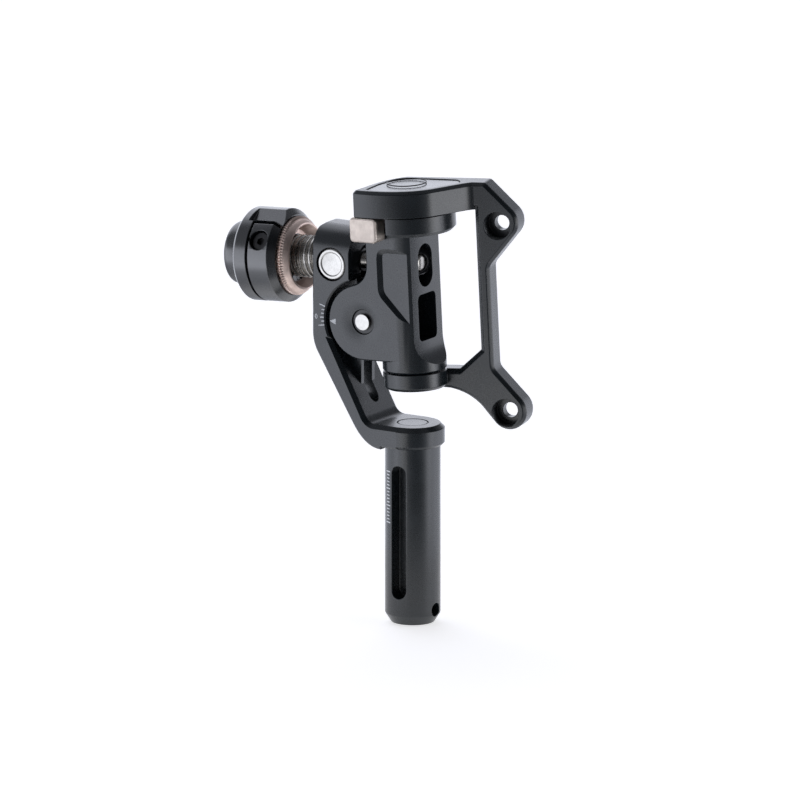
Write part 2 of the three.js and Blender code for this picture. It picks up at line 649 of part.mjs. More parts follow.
function clampScrew() {
  const { x, angle, radius, head, seat } = CLAMP_SCREW;
  return barY(radius, head, seat - 0.2, x, 0, 24)
    .subtract(barY(1.25, head - 1, head + 1.4, x, 0, 6))
    .rotate([-angle, 0, 0]);
}

function endDisc() {
  const { radius, end } = END_DISC;
  const seat = KNOB.end - 0.05;
  return alongX(turned([
    [0, end], [radius - 1.2, end], [radius - 0.3, end + 0.5], [radius, end + 1.4], [radius, seat],
    [0, seat]], 48));
}

// The trunnion turns in the lug and carries the screw in its cross hole.
function trunnionPin() {
  const { radius, length } = TRUNNION;
  const half = length / 2;
  const pin = turned([
    [0, -half], [radius - 0.5, -half], [radius, -half + 0.5], [radius, half - 0.5],
    [radius - 0.5, half], [0, half]], 32).rotate([90, 0, 0]);
  return pin.subtract(barX(SCREW.radius + CLEARANCE, -8, 8, 0, 0, 24));
}

function trunnionNut() {
  const half = NUT.length / 2;
  const barrel = barY(NUT.radius, -half, half, 0, 0, 32);
  return barrel.subtract(barX(SCREW.radius + 0.25, -8, 8, 0, 0, 24));
}

// ---------- assembly ----------
const stabilizer = new THREE.Group();
stabilizer.add(
  node("arm_post", armPost(), black),
  node("post_bolt", postBolt(), steel),
  node("boss_cap", bossCap(), black),
  node("yoke", yoke(), black),
  node("tongue_bush_front", tongueBush(-1), brass),
  node("tongue_bush_back", tongueBush(1), brass),
);

// Everything that tilts turns about the pivot; inside it the coordinates are those of the upright block.
const swing = new THREE.Group();
const tilt = radians(TILT_AT_REST);
const pivot = new THREE.Vector3(PIVOT.x, 0, PIVOT.z);
const upright = new THREE.Group();
swing.position.copy(pivot);
swing.rotation.y = tilt;
upright.position.copy(pivot).negate();
swing.add(upright);
upright.add(
  node("swing_block", swingBlock(), black),
  node("tilt_spindle", tiltSpindle(), blackDeep),
  node("spindle_collar", spindleCollar(), blackDeep),
  node("spindle_screw_front", spindleScrew(-1), steel),
  node("spindle_screw_back", spindleScrew(1), steel),
  node("nut_bore_plug", nutBorePlug(), blackDeep),
  node("upper_bearing_outer_race", race(UPPER_BEARING, "outer"), steel),
  node("upper_bearing_cage", race(UPPER_BEARING, "cage"), brass),
  node("lower_bearing_outer_race", race(LOWER_BEARING, "outer"), steel),
  node("lower_bearing_cage", race(LOWER_BEARING, "cage"), brass),
);

const lock = new THREE.Group();
lock.add(
  node("lock_ring", lockRing(), steel),
  node("lock_lever", lockLever(), champagne),
);
upright.add(lock);

const pan = new THREE.Group();
pan.rotation.z = radians(PAN_AT_REST);
pan.add(
  node("bracket", bracket(), black),
  node("top_inlay", plateZ(inlayOutline(0.25), BRACKET.top - 0.98, BRACKET.top - 0.25, 0, 12), blackDeep),
  node("pan_bolt_upper", upperPanBolt(), steel),
  node("pan_bolt_lower", lowerPanBolt(), steel),
  node("pan_spacer_upper", upperSpacer(), brass),
  node("pan_spacer_lower", lowerSpacer(), brass),
  node("upper_bearing_inner_race", race(UPPER_BEARING, "inner"), steel),
  node("lower_bearing_inner_race", race(LOWER_BEARING, "inner"), steel),
);
upright.add(pan);
stabilizer.add(swing);

// The nut stays in the block; the screw's line runs from the trunnion through it.
const trunnionCentre = new THREE.Vector3(TRUNNION.x, 0, TRUNNION.z);
const nutCentre = new THREE.Vector3(NUT.x, 0, NUT.z)
  .sub(pivot)
  .applyAxisAngle(new THREE.Vector3(0, 1, 0), tilt)
  .add(pivot);
const screwPitch = Math.atan2(nutCentre.z - trunnionCentre.z, nutCentre.x - trunnionCentre.x);

const adjuster = new THREE.Group();
adjuster.position.copy(trunnionCentre);
adjuster.rotation.y = -screwPitch;
adjuster.add(
  node("trunnion_pin", trunnionPin(), steel),
  node("adjuster_screw", adjusterScrew(), steel),
  node("thrust_collar", thrustCollar(), steel),
  node("serrated_ring", serratedRing(), bronze),
  node("knob_body", knobBody(), black),
  node("knob_clamp_screw", clampScrew(), blackDeep),
  node("knob_end_disc", endDisc(), black),
);
stabilizer.add(adjuster);

const nut = new THREE.Group();
nut.position.copy(nutCentre);
nut.rotation.y = -screwPitch;
nut.add(node("trunnion_nut", trunnionNut(), brass));
stabilizer.add(nut);

export default stabilizer;
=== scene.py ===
import json
import math

import bmesh
import bpy
from mathutils import Matrix, Vector


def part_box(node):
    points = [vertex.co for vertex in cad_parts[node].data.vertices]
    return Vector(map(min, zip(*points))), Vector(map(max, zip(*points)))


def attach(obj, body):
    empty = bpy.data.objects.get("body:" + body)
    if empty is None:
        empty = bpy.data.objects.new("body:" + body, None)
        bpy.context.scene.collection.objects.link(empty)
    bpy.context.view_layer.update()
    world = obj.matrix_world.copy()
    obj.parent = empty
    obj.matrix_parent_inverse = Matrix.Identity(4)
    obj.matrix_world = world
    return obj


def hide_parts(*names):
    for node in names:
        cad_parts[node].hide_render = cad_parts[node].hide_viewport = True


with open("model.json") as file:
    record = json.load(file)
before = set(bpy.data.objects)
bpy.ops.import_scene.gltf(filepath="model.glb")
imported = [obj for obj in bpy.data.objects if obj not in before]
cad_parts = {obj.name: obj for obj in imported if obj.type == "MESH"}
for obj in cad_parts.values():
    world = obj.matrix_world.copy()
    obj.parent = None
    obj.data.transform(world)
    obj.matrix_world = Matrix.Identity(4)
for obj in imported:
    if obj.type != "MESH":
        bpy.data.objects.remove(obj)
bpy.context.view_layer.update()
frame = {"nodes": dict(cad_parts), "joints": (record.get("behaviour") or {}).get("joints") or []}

MM = 0.001
JOINTS = {joint["name"]: joint for joint in frame["joints"]}

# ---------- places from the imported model, and new objects ----------


def placed(anchor, direction):
    """Matrix from millimetres about an anchor to the frame, with local +Z along direction."""
    turn = Vector((0, 0, 1)).rotation_difference(direction)
    return Matrix.Translation(anchor) @ turn.to_matrix().to_4x4() @ Matrix.Scale(MM, 4)


def joint_centre(name):
    return Vector(JOINTS[name]["pos_m"])


def joint_axis(name):
    return Vector(JOINTS[name]["axis"]).normalized()


def add_object(name, data):
    obj = bpy.data.objects.new(name, data)
    bpy.context.scene.collection.objects.link(obj)
    return obj


def mesh_from(name, mesh_data):
    """A mesh from a bmesh, which is freed."""
    mesh = bpy.data.meshes.new(name)
    mesh_data.to_mesh(mesh)
    mesh_data.free()
    return mesh


# ---------- small shader helper ----------


class Shader:
    """Adds nodes to one node tree and links or sets their inputs."""

    def __init__(self, tree):
        self.tree = tree
        tree.nodes.clear()

    def add(self, kind, inputs=None, **settings):
        node = self.tree.nodes.new(kind)
        for key, value in settings.items():
            setattr(node, key, value)
        for key, value in (inputs or {}).items():
            socket = node.inputs[key]
            if isinstance(value, bpy.types.NodeSocket):
                self.tree.links.new(value, socket)
            else:
                socket.default_value = value
        return node

    def noise(self, vector, scale, detail=2.0, roughness=0.5):
        node = self.add("ShaderNodeTexNoise", {"Vector": vector, "Scale": scale, "Detail": detail})
        node.inputs["Roughness"].default_value = roughness
        return node.outputs["Fac"]

    def ramp(self, value, low, high, out_low=0.0, out_high=1.0):
        node = self.add("ShaderNodeMapRange", {"Value": value, "From Min": low, "From Max": high})
        node.inputs["To Min"].default_value = out_low
        node.inputs["To Max"].default_value = out_high
        return node.outputs["Result"]

    def math(self, operation, a, b):
        return self.add("ShaderNodeMath", {0: a, 1: b}, operation=operation).outputs[0]

    def mix(self, factor, a, b):
        node = self.add("ShaderNodeMix", {"Factor": factor}, data_type="RGBA")
        for socket, value in ((node.inputs[6], a), (node.inputs[7], b)):
            if isinstance(value, bpy.types.NodeSocket):
                self.tree.links.new(value, socket)
            else:
                socket.default_value = (*value, 1.0)
        return node.outputs[2]


def edge_mask(shader, radius):
    """1 on sharp edges and 0 on flats, from how far a rounded normal turns away from the true one."""
    rounded = shader.add("ShaderNodeBevel", {"Radius": radius}, samples=4).outputs[0]
    true = shader.add("ShaderNodeNewGeometry").outputs["Normal"]
    dot = shader.add("ShaderNodeVectorMath", {0: rounded, 1: true}, operation="DOT_PRODUCT")
    return shader.ramp(dot.outputs["Value"], 0.99, 0.8)


def new_material(name):
    material = bpy.data.materials.new(name)
    material.use_nodes = True
    return material, Shader(material.node_tree)


def millimetres(shader):
    """Object coordinates in millimetres, so that every scale below is in cycles per millimetre."""
    metres = shader.add("ShaderNodeTexCoord").outputs["Object"]
    return shader.add("ShaderNodeVectorMath", {0: metres, 1: (1 / MM,) * 3}, operation="MULTIPLY").outputs[0]


def surface(shader, **inputs):
    """A principled surface whose inputs are named with _ for a space, joined to the output."""
    named = {key.replace("_", " "): value for key, value in inputs.items()}
    node = shader.add("ShaderNodeBsdfPrincipled", named)
    shader.add("ShaderNodeOutputMaterial", {"Surface": node.outputs[0]})


# Radius of the edge mask that pales the edges: partly wear, partly a painted highlight.
EDGE_WEAR_AND_HIGHLIGHT_RADIUS = 0.28 * MM
BLAST_DEPTH = 0.03 * MM
MARK_DEPTH = 0.02 * MM


def anodized(name, tone, worn_highlit_tone, roughness, blast=0.35, ior=1.62):
    """Bead-blasted, anodized aluminium: fine grain, cloudy sheen, and paler edges that are partly wear of the
    coat and partly a painted highlight.
    """
    material, shader = new_material(name)
    place = millimetres(shader)
    grain = shader.noise(place, 3.2, 3.0, 0.6)
    cloud = shader.noise(place, 0.11, 4.0, 0.6)
    patches = shader.ramp(shader.noise(place, 0.6, 4.0), 0.42, 0.68)
    # Painted highlight together with wear: sharp edges are paled towards the edge tone in random patches.
    wear_and_highlight = shader.math("MULTIPLY", edge_mask(shader, EDGE_WEAR_AND_HIGHLIGHT_RADIUS), patches)
    deep = tuple(0.8 * c for c in tone)
    pale = tuple(1.25 * c for c in tone)
    colour = shader.mix(shader.ramp(cloud, 0.35, 0.65), deep, pale)
    colour = shader.mix(shader.math("MULTIPLY", wear_and_highlight, 0.55), colour, worn_highlit_tone)
    sheen = shader.ramp(cloud, 0.3, 0.7, roughness - 0.03, roughness + 0.03)
    rough = shader.math("ADD", sheen, shader.ramp(grain, 0.3, 0.7, -0.035, 0.035))
    bump = shader.add("ShaderNodeBump", {"Strength": blast, "Distance": BLAST_DEPTH, "Height": grain})
    surface(shader, Base_Color=colour, Roughness=rough, Normal=bump.outputs[0], IOR=ior)
    return material


def metal(name, tone, roughness, streak=(1, 1, 1), depth=0.2, spread=0.12):
    """Machined metal: fine marks drawn out along the axis whose streak scale is small."""
    material, shader = new_material(name)
    place = millimetres(shader)
    drawn = shader.add("ShaderNodeVectorMath", {0: place, 1: streak}, operation="MULTIPLY").outputs[0]
    marks = shader.noise(drawn, 3.0, 4.0, 0.65)
    cloud = shader.noise(place, 0.25, 3.0)
    dark = tuple(c * (1 - spread) for c in tone)
    light = tuple(min(1.0, c * (1 + spread)) for c in tone)
    colour = shader.mix(shader.ramp(cloud, 0.35, 0.65), dark, light)
    rough = shader.ramp(marks, 0.3, 0.7, roughness * 0.8, roughness * 1.25)
    bump = shader.add("ShaderNodeBump", {"Strength": depth, "Distance": MARK_DEPTH, "Height": marks})
    surface(shader, Base_Color=colour, Metallic=1.0, Roughness=rough, Normal=bump.outputs[0])
    return material


def ink(name, tone):
    """Laser-marked white: chalky and slightly broken up."""
    material, shader = new_material(name)
    place = millimetres(shader)
    broken = shader.noise(place, 6.0, 2.0)
    colour = shader.mix(shader.ramp(broken, 0.35, 0.6), tuple(c * 0.72 for c in tone), tone)
    surface(shader, Base_Color=colour, Roughness=0.7)
    return material


# Tone of the pale edges: worn coat and painted edge highlight in one.
WORN_HIGHLIT_BLACK = (0.06, 0.062, 0.066)
BLACK = anodized("black_anodized", (0.007, 0.0105, 0.013), WORN_HIGHLIT_BLACK, 0.28)
BLACK_TURNED = anodized("black_anodized_turned", (0.007, 0.009, 0.011), WORN_HIGHLIT_BLACK, 0.25, 0.25, 2.0)
BLACK_INLAY = anodized("black_inlay", (0.01, 0.0115, 0.013), (0.05, 0.05, 0.054), 0.24, 0.15, 2.1)
BLACK_DEEP = anodized("black_oxide", (0.007, 0.0075, 0.009), (0.05, 0.05, 0.052), 0.4, 0.3)
STEEL = metal("polished_steel", (0.78, 0.77, 0.75), 0.2, (0.2, 1, 1))
STEEL_PIN = metal("ground_steel", (0.5, 0.49, 0.465), 0.3, (1, 0.1, 1))
STEEL_THREAD = metal("cut_thread", (0.4, 0.385, 0.36), 0.26, (1, 0.4, 0.4))
BRONZE = metal("bronze_anodized", (0.72, 0.58, 0.515), 0.45, (0.3, 1, 1))
CHAMPAGNE = metal("champagne_satin", (0.57, 0.505, 0.45), 0.5, (1, 1, 0.3), 0.12)
BUSHING = metal("bushing_brass", (0.62, 0.47, 0.26), 0.33)
MARKING = ink("white_marking", (0.72, 0.74, 0.76))

# ---------- mesh helpers: every piece is built in millimetres, then placed in the frame ----------

WELD_DISTANCE = 1e-5  # in millimetres
ON_AXIS = 1e-6


def piece(name, mesh_data, place, body, material, replaces=(), smooth_degrees=35):
    """A new visible piece from a bmesh in millimetres, riding on a CAD body."""
    smooth_below = math.radians(smooth_degrees)
    bmesh.ops.remove_doubles(mesh_data, verts=mesh_data.verts, dist=WELD_DISTANCE)
    bmesh.ops.recalc_face_normals(mesh_data, faces=mesh_data.faces)
    for face in mesh_data.faces:
        face.smooth = True
    for edge in mesh_data.edges:
        edge.smooth = len(edge.link_faces) == 2 and edge.calc_face_angle(0) < smooth_below
    mesh_data.transform(place)
    obj = add_object(name, mesh_from(name, mesh_data))
    obj.data.materials.append(material)
    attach(obj, body)
    if replaces:
        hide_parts(*replaces)
    return obj


def revolved(profile, steps, shift=None):
    """Turned solid about local Z. Its (radius, z) points start and end on the axis, or close on themselves.
    shift(index, angle) is added to the radius of the point at index as it goes round."""
    data = bmesh.new()
    rings = []
    for index, (radius, height) in enumerate(profile):
        if radius < ON_AXIS:
            rings.append([data.verts.new((0, 0, height))])
            continue
        ring = []
        for step in range(steps):
            angle = 2 * math.pi * step / steps
            at = radius + (shift(index, angle) if shift else 0)
            ring.append(data.verts.new((at * math.cos(angle), at * math.sin(angle), height)))
        rings.append(ring)
    for low, high in zip(rings, rings[1:]):
        for step in range(steps):
            after = (step + 1) % steps
            below = [low[step % len(low)], low[after % len(low)]]
            above = [high[after % len(high)], high[step % len(high)]]
            corners = list(dict.fromkeys(below + above))
            if len(corners) > 2:
                data.faces.new(corners)
    return data


def rounded(profile, radius, steps=4):
    """The profile with each corner turned into a small arc; its two end points stay."""
    out = []
    for k, point in enumerate(profile):
        if k in (0, len(profile) - 1):
            out.append(point)
            continue
        here = Vector(point)
        before = Vector(profile[k - 1]) - here
        after = Vector(profile[k + 1]) - here
        cut = min(radius, before.length * 0.45, after.length * 0.45)
        start = here + before.normalized() * cut
        end = here + after.normalized() * cut
        for step in range(steps + 1):
            t = step / steps
            out.append(tuple(start * (1 - t) ** 2 + here * 2 * t * (1 - t) + end * t**2))
    return out


def slab(outline, low, high):
    """Prism along local Z over a closed outline of (x, y) points."""
    data = bmesh.new()
    bottom = [data.verts.new((x, y, low)) for x, y in outline]
    top = [data.verts.new((x, y, high)) for x, y in outline]
    data.faces.new(bottom[::-1])
    data.faces.new(top)
    for k in range(len(outline)):
        after = (k + 1) % len(outline)
        data.faces.new((bottom[k], bottom[after], top[after], top[k]))
    return data


def join(parts):
    """Several bmeshes as one."""
    whole = bmesh.new()
    for part in parts:
        mesh = mesh_from("part", part)
        whole.from_mesh(mesh)
        bpy.data.meshes.remove(mesh)
    return whole


# ---------- CAD nodes that stay: clean facets, rounded edges, a finish with worn edges and painted edge highlights ---


WELD = 0.002 * MM
FLAT_ANGLE = math.radians(0.8)
EDGE_ANGLE = math.radians(28)
EDGE_SEGMENTS = 3


def finish_node(name, material, edge):
    """Gives a CAD node its material, and rounds its edges by edge millimetres with modifiers."""
    obj = frame["nodes"][name]
    obj.data.materials.clear()
    obj.data.materials.append(material)
    if "custom_normal" in obj.data.attributes:
        obj.data.attributes.remove(obj.data.attributes["custom_normal"])
    obj.data.polygons.foreach_set("use_smooth", [True] * len(obj.data.polygons))
    weld = obj.modifiers.new("weld", "WELD")
    weld.merge_threshold = WELD
    flat = obj.modifiers.new("flat", "DECIMATE")
    flat.decimate_type = "DISSOLVE"
    flat.angle_limit = FLAT_ANGLE
    bevel = obj.modifiers.new("edge", "BEVEL")
    bevel.width = edge * MM
    bevel.segments = EDGE_SEGMENTS
    bevel.limit_method = "ANGLE"
    bevel.angle_limit = EDGE_ANGLE
    bevel.use_clamp_overlap = False
    bevel.miter_outer = "MITER_ARC"
    normals = obj.modifiers.new("normals", "WEIGHTED_NORMAL")
    normals.keep_sharp = True
    normals.weight = 80


# Material and edge rounding in millimetres. The yoke and the swing block stay nearly sharp: a wider rounding
# overshoots where a flat side meets a round one almost in line, and leaves a crease.
NODE_FINISH = {
    "arm_post": (BLACK, 0.25),
    "yoke": (BLACK, 0.03),
    "swing_block": (BLACK, 0.03),
    "bracket": (BLACK, 0.2),
    "top_inlay": (BLACK_INLAY, 0.1),
    "boss_cap": (BLACK, 0.1),
    "knob_body": (BLACK_TURNED, 0.2),
    "knob_clamp_screw": (BLACK_DEEP, 0.12),
    "lock_lever": (CHAMPAGNE, 0.3),
    "lock_ring": (BLACK_DEEP, 0.1),
    "tilt_spindle": (BLACK_DEEP, 0.15),
    "spindle_collar": (BLACK_DEEP, 0.15),
    "spindle_screw_front": (STEEL_PIN, 0.15),
    "spindle_screw_back": (STEEL_PIN, 0.15),
    "nut_bore_plug": (BLACK_DEEP, 0.15),
    "post_bolt": (STEEL, 0.1),
    "pan_bolt_upper": (BLACK_DEEP, 0.1),
    "pan_bolt_lower": (BLACK_DEEP, 0.15),
    "trunnion_nut": (BLACK_DEEP, 0.1),
    "thrust_collar": (BLACK_DEEP, 0.08),
}
SMALL_EDGE = 0.08
FAMILY_FINISH = {"race": STEEL, "spacer": BLACK_DEEP, "cage": BUSHING, "bush": BUSHING}

for node_name, (node_material, node_edge) in NODE_FINISH.items():
    finish_node(node_name, node_material, node_edge)
for node_name in frame["nodes"]:
    for word, node_material in FAMILY_FINISH.items():
        if word in node_name:
            finish_node(node_name, node_material, SMALL_EDGE)

# ---------- adjuster: serrated ring, threaded screw, end disc, trunnion pin ----------

# Heights along the screw run from the trunnion's centre towards the nut.
ALONG_SCREW = placed(joint_centre("trunnion_turn"), -joint_axis("knob_turn"))
ALONG_TRUNNION = placed(joint_centre("trunnion_turn"), Vector((0, 1, 0)))

THREAD = {
    "outer": 6.15, "root": 5.35, "pitch": 1.65, "start": -17.0, "end": -6.8,
    "runout": 0.6, "crest_gain": 1.35, "rows": 112}
SCREW = {"shank": 4.0, "shank_end": -30.0, "slim": 2.5, "tip": 25.2}
RING = {
    "radius": 11.4, "back": -18.8, "rim": -16.3, "face": -14.1,
    "bowl": 9.2, "floor": -17.4, "floor_radius": 7.6, "inner": 6.3,
    "teeth": 84, "tooth_depth": 0.42, "tooth_gain": 1.6}
CAP = {"radius": 9.1, "outer_end": -37.2, "inner_end": -31.55, "dish": 5.0, "dish_depth": 0.35}
PIN = {"radius": 4.75, "half_length": 9.05, "chamfer": 0.5, "dish": 3.3, "dish_depth": 0.25}


def serrated_ring():
    """Ring with a toothed rim, a conical face and a dished bowl."""
    r = RING
    profile = [
        (r["inner"], r["back"]), (r["radius"] - 0.3, r["back"]), (r["radius"], r["back"] + 0.3),
        (r["radius"], r["rim"] - 0.1), (r["radius"] - 0.35, r["rim"] + 0.25),
        (r["radius"] - 0.75, r["rim"] + 0.62),
        (r["bowl"] + 0.75, r["face"] - 0.42), (r["bowl"] + 0.45, r["face"] - 0.1), (r["bowl"], r["face"]),
        (r["bowl"] - 0.2, r["face"] - 0.2), (r["floor_radius"] + 0.15, r["floor"] + 0.3),
        (r["floor_radius"] - 0.15, r["floor"]), (r["inner"], r["floor"]), (r["inner"], r["back"]),
    ]
    share_of_depth = {1: 0.6, 2: 1.0, 3: 1.0, 4: 0.8}  # by the profile point's index, for the rim's points

    def tooth(index, angle):
        if index not in share_of_depth:
            return 0
        wave = abs((angle * r["teeth"] / (2 * math.pi)) % 1 - 0.5) * 2
        return -r["tooth_depth"] * share_of_depth[index] * min(1.0, r["tooth_gain"] * wave)

    data = revolved(profile, r["teeth"] * 6, tooth)
    piece("toothed_ring", data, ALONG_SCREW, "adjuster", BRONZE, ["serrated_ring"], 24)


def thread_radius(height, angle):
    """Radius of a single-start thread with rounded crests, running out at both ends."""
    t = THREAD
    phase = (height / t["pitch"] - angle / (2 * math.pi)) % 1
    wave = 0.5 - 0.5 * math.cos(2 * math.pi * phase)
    crest = min(1.0, t["crest_gain"] * wave)
    from_end = min(height - t["start"], t["end"] - height)
    fade = max(0.0, min(1.0, from_end / t["runout"]))
    return t["root"] + (t["outer"] - t["root"]) * crest * fade


def adjuster_screw():
    """Shank in the knob, coarse thread, then the slim screw with its rounded tip."""
    t = THREAD
    shank, shank_end, slim, tip = SCREW["shank"], SCREW["shank_end"], SCREW["slim"], SCREW["tip"]
    step = (t["end"] - t["start"]) / (t["rows"] - 1)
    shank_points = [(0, shank_end), (shank - 0.4, shank_end), (shank, shank_end + 0.4), (shank, t["start"])]
    thread_points = [(t["root"], t["start"] + step * k) for k in range(t["rows"])]
    slim_points = [
        (slim + 0.4, t["end"]), (slim, t["end"] + 0.4), (slim, tip - 0.9), (slim - 0.3, tip - 0.3),
        (slim - 1.0, tip), (0, tip)]
    first = len(shank_points)
    profile = shank_points + thread_points + slim_points

    def wound(index, angle):
        if not first <= index < first + t["rows"]:
            return 0
        return thread_radius(profile[index][1], angle) - t["root"]

    data = revolved(profile, 72, wound)
    piece("threaded_screw", data, ALONG_SCREW, "adjuster", STEEL_THREAD, ["adjuster_screw"], 50)


def knob_end():
    """End disc of the knob with a softly rounded rim and a shallow centre."""
    radius, low, high = CAP["radius"], CAP["outer_end"], CAP["inner_end"]
    dish, dish_floor = CAP["dish"], CAP["outer_end"] + CAP["dish_depth"]
    profile = rounded([
        (0, dish_floor), (dish, dish_floor), (dish + 0.5, low), (radius - 1.2, low),
        (radius - 0.3, low + 0.5), (radius, low + 1.4), (radius, high), (0, high)], 0.35)
    data = revolved(profile, 96)
    piece("knob_cap", data, ALONG_SCREW, "adjuster", BLACK_TURNED, ["knob_end_disc"])


def trunnion():
    """Bright pin with a chamfer and a shallow turned recess in each end. Its cross hole isn't modelled."""
    radius, half, chamfer = PIN["radius"], PIN["half_length"], PIN["chamfer"]
    dish, dish_floor = PIN["dish"], PIN["half_length"] - PIN["dish_depth"]
    end = [
        (0, dish_floor), (dish, dish_floor), (dish + 0.3, half), (radius - chamfer, half),
        (radius, half - chamfer)]
    profile = [(across, -along) for across, along in end] + end[::-1]
    data = revolved(rounded(profile, 0.12, 3), 72)
    piece("trunnion_end_pin", data, ALONG_TRUNNION, "trunnion", STEEL_PIN, ["trunnion_pin"])


serrated_ring()
adjuster_screw()
knob_end()
trunnion()

# ---------- markings: thin painted strips that ride on the part they are on ----------

PAINT = 0.025  # how far a marking stands proud of its face
SUNK = 0.05  # and how far it reaches in
STROKE = 0.34
POST_RADIUS = 8.0
POST_SCALE = {"azimuth": -30.0, "start": 30, "strokes": 16, "short": 1.4, "long": 2.1}
YOKE_FRONT = -9.25
DEGREE_SCALE = {"radius": 12.75, "lengths": {-10: 1.9, -5: 0.9, 0: 1.3, 5: 0.9, 10: 0.9, 15: 1.9}}
ZERO = {"distance": 15.3, "width": 0.9, "height": 1.5, "line": 0.24}
POINTER = {"tip": 10.7, "base": 8.7, "half_width": 0.85, "drop": 0.75}
INLAY_RING = {"inner": 5.6, "outer": 5.8, "proud": 0.03, "depth": 0.3, "bevel": (0.06, 0.02)}


def post_tick(height, width):
    """A short stroke wrapped round the post."""
    steps = 6
    data = bmesh.new()
    corners = []
    middle_angle = math.radians(POST_SCALE["azimuth"])
    for step in range(steps + 1):
        angle = middle_angle + (step / steps - 0.5) * width / POST_RADIUS
        column = []
        for radius in (POST_RADIUS - SUNK, POST_RADIUS + PAINT):
            for z in (height - STROKE / 2, height + STROKE / 2):
                column.append(data.verts.new((radius * math.sin(angle), -radius * math.cos(angle), z)))
        corners.append(column)
    for a, b in zip(corners, corners[1:]):
        for i, j in ((0, 1), (1, 3), (3, 2), (2, 0)):
            data.faces.new((a[i], a[j], b[j], b[i]))
    data.faces.new((corners[0][0], corners[0][2], corners[0][3], corners[0][1]))
    data.faces.new((corners[-1][0], corners[-1][1], corners[-1][3], corners[-1][2]))
    return data


def post_scale():
    """Millimetre scale beside the groove: every fifth stroke is longer."""
    scale = POST_SCALE
    strokes = []
    for k in range(scale["strokes"]):
        width = scale["short"] if k % 5 else scale["long"]
        strokes.append(post_tick(scale["start"] + k, width))
    piece("post_scale", join(strokes), Matrix.Scale(MM, 4), "post", MARKING)


def front_place(y):
    """Matrix for an outline drawn in X and Z on a face that looks along -Y at the given y."""
    turn = Matrix(((1, 0, 0, 0), (0, 0, -1, y), (0, 1, 0, 0), (0, 0, 0, 1)))
    return Matrix.Scale(MM, 4) @ turn


def stroke(centre, angle, start, end):
    """Radial stroke round a centre, between two radii."""
    along = Vector((math.cos(angle), math.sin(angle)))
    across = Vector((-along.y, along.x)) * STROKE / 2
    points = [along * start - across, along * end - across, along * end + across, along * start + across]
    return slab([tuple(centre + p) for p in points], -SUNK, PAINT)


def zero_mark(centre):
    """The numeral 0 as an oval ring."""
    steps = 28
    data = bmesh.new()
    loops = []
    for z in (-SUNK, PAINT):
        for shrink in (0, ZERO["line"]):
            across = ZERO["width"] / 2 - shrink
            up = ZERO["height"] / 2 - shrink
            loop = []
            for k in range(steps):
                a = 2 * math.pi * k / steps
                loop.append(data.verts.new((centre.x + across * math.cos(a), centre.y + up * math.sin(a), z)))
            loops.append(loop)
    for i, j in ((0, 1), (1, 3), (3, 2), (2, 0)):
        for k in range(steps):
            after = (k + 1) % steps
            data.faces.new((loops[i][k], loops[i][after], loops[j][after], loops[j][k]))
    return data


def tilt_pivot():
    """X and Z of the tilt pivot in millimetres."""
    centre = joint_centre("tilt") / MM
    return Vector((centre.x, centre.z))


def tilt_scale():
    """Degree scale on the yoke's front face, round the tilt pivot."""
    pivot = tilt_pivot()
    inner = DEGREE_SCALE["radius"]
    strokes = []
    for degrees, length in DEGREE_SCALE["lengths"].items():
        strokes.append(stroke(pivot, math.radians(180 - degrees), inner, inner + length))
    strokes.append(zero_mark(pivot - Vector((ZERO["distance"], 0))))
    piece("tilt_scale", join(strokes), front_place(YOKE_FRONT), "post", MARKING)


def tilt_pointer():
    """Triangle on the block that points at the degree scale."""
    pivot = tilt_pivot()
    tip = (pivot.x - POINTER["tip"], pivot.y - POINTER["drop"])
    base = [(pivot.x - POINTER["base"], tip[1] + side * POINTER["half_width"]) for side in (-1, 1)]
    data = slab([tip, *base], -SUNK, PAINT)
    piece("tilt_pointer", data, front_place(YOKE_FRONT), "block", MARKING)


def inlay_ring():
    """Plain ring on the pad's inlay, round the pan axis."""
    low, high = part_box("top_inlay")
    middle = (low + high) / 2
    place = placed(joint_centre("pan"), joint_axis("pan"))
    height = (place.inverted() @ Vector((middle.x, middle.y, high.z))).z
    inner, outer, (inset, drop) = INLAY_RING["inner"], INLAY_RING["outer"], INLAY_RING["bevel"]
    bottom, shoulder, top = height - INLAY_RING["depth"], height - drop, height + INLAY_RING["proud"]
    profile = [
        (inner, bottom), (outer, bottom), (outer, shoulder), (outer - inset, top), (inner + inset, top),
        (inner, shoulder), (inner, bottom)]
    piece("inlay_ring", revolved(profile, 96), place, JOINTS["pan"]["child"], BLACK_DEEP)


post_scale()
tilt_scale()
tilt_pointer()
inlay_ring()

# ---------- studio: pale floor, soft surround, camera ----------

CAMERA_AZIMUTH = math.radians(32)
CAMERA_ELEVATION = math.radians(13)
RIGHT = Vector((math.cos(CAMERA_AZIMUTH), math.sin(CAMERA_AZIMUTH), 0))
UP = Vector((
    -math.sin(CAMERA_AZIMUTH) * math.sin(CAMERA_ELEVATION),
    math.cos(CAMERA_AZIMUTH) * math.sin(CAMERA_ELEVATION),
    math.cos(CAMERA_ELEVATION)))
BACK = RIGHT.cross(UP)
VIEW_WIDTH = 230.2 * MM
VIEW_CENTRE = (-3.68 * RIGHT + 63.5 * UP) * MM
VIEW_DISTANCE = 1.0


def camera():
    """Parallel view, from the photo's side and height."""
    data = bpy.data.cameras.new("camera")
    data.type = "ORTHO"
    data.ortho_scale = VIEW_WIDTH
    obj = add_object("camera", data)
    turn = Matrix((RIGHT, UP, BACK)).transposed().to_4x4()
    obj.matrix_world = Matrix.Translation(VIEW_CENTRE + BACK * VIEW_DISTANCE) @ turn
    bpy.context.scene.camera = obj


FLOOR_RADIUS = 0.9
FLOOR_BELOW = 0.1 * MM  # keeps the floor clear of the post's end
FLOOR_REFLECTED = 0.09  # the metal reflects the floor only this far out, as on a small white table
FLOOR_FADE = 0.03
FLOOR_GLOW = 0.66
WHITE = (1, 1, 1, 1)


